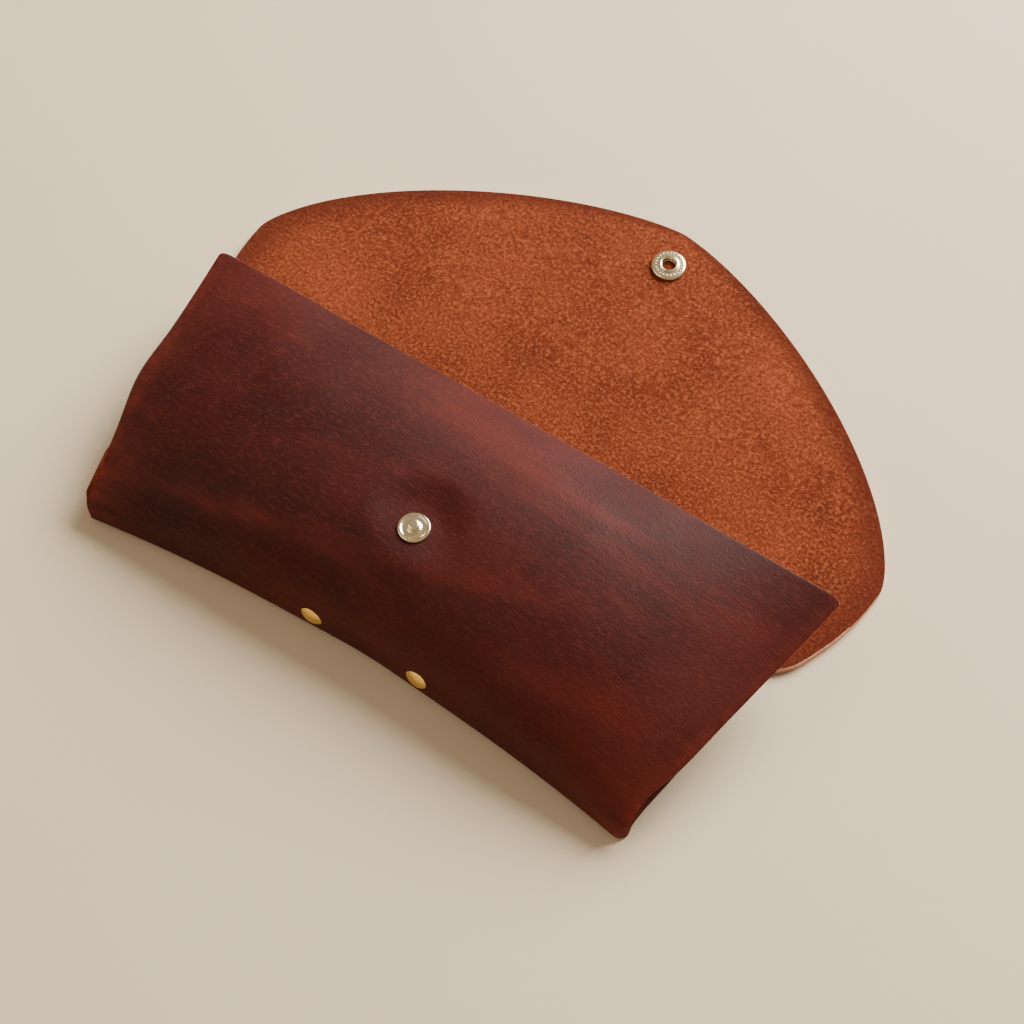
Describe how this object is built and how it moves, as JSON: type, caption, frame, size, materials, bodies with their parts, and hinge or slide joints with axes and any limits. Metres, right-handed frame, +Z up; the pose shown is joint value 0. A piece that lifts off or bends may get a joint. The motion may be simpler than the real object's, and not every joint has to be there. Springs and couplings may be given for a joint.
{
  "type": "eyeglasses case",
  "caption": "Soft leather eyeglasses case lying on its back with a wide rounded flap open, a brass press stud that joins the front and the flap, and brass rivets in the bottom wall.",
  "frame": {"origin": "underside of the back panel, near its middle, in the plane the case lies on", "axes": "+X along the mouth to the right as seen facing the front panel, +Y from the bottom wall to the tip of the open flap, +Z up out of the table"},
  "size_m": [0.191, 0.1553, 0.0282],
  "materials": {
    "leather_outer": "dark burgundy brown oiled leather with a satin sheen and paler red-brown streaks",
    "leather_flesh": "napped flesh side of the leather, mottled orange brown",
    "rivet_brass": "polished yellow brass",
    "snap_brass": "satin pale brass",
    "spring_steel": "dull steel"
  },
  "bodies": {
    "root": {"back_panel": "leather_outer", "bottom_panel": "leather_outer", "gusset_left_lower": "leather_outer", "gusset_right_lower": "leather_outer", "gusset_left_tongue": "leather_flesh", "gusset_right_tongue": "leather_flesh", "rivet_left_cap": "rivet_brass", "rivet_left_post": "rivet_brass", "rivet_right_cap": "rivet_brass", "rivet_right_post": "rivet_brass"},
    "front": {"front_panel": "leather_outer", "gusset_left_upper": "leather_outer", "gusset_right_upper": "leather_outer", "snap_stud": "snap_brass", "snap_post": "snap_brass"},
    "spine": {"flap_spine": "leather_flesh"},
    "flap": {"flap": "leather_flesh", "snap_socket": "snap_brass", "snap_spring": "spring_steel", "snap_cap": "rivet_brass"}
  },
  "joints": [
    {"name": "spine_fold", "type": "hinge", "parent": "root", "child": "spine", "pos_m": [0, 0.0366, 0.0018], "axis": [1, 0, 0], "range_deg": [0, 84]},
    {"name": "flap_fold", "type": "hinge", "parent": "spine", "child": "flap", "pos_m": [0, 0.064, 0.0018], "axis": [1, 0, 0], "range_deg": [0, 94.5]},
    {"name": "mouth_press", "type": "hinge", "parent": "root", "child": "front", "pos_m": [0, -0.02, 0.019], "axis": [-1, 0, 0], "range_deg": [0, 7], "stiffness_Nm_per_rad": 0.1, "springref_deg": -8.59, "deforming": ["gusset_left_upper", "gusset_left_lower", "gusset_right_upper", "gusset_right_lower"]}
  ],
  "couplings": [
    {"joint": "flap_fold", "follows": "spine_fold", "ratio": 1.125}
  ]
}
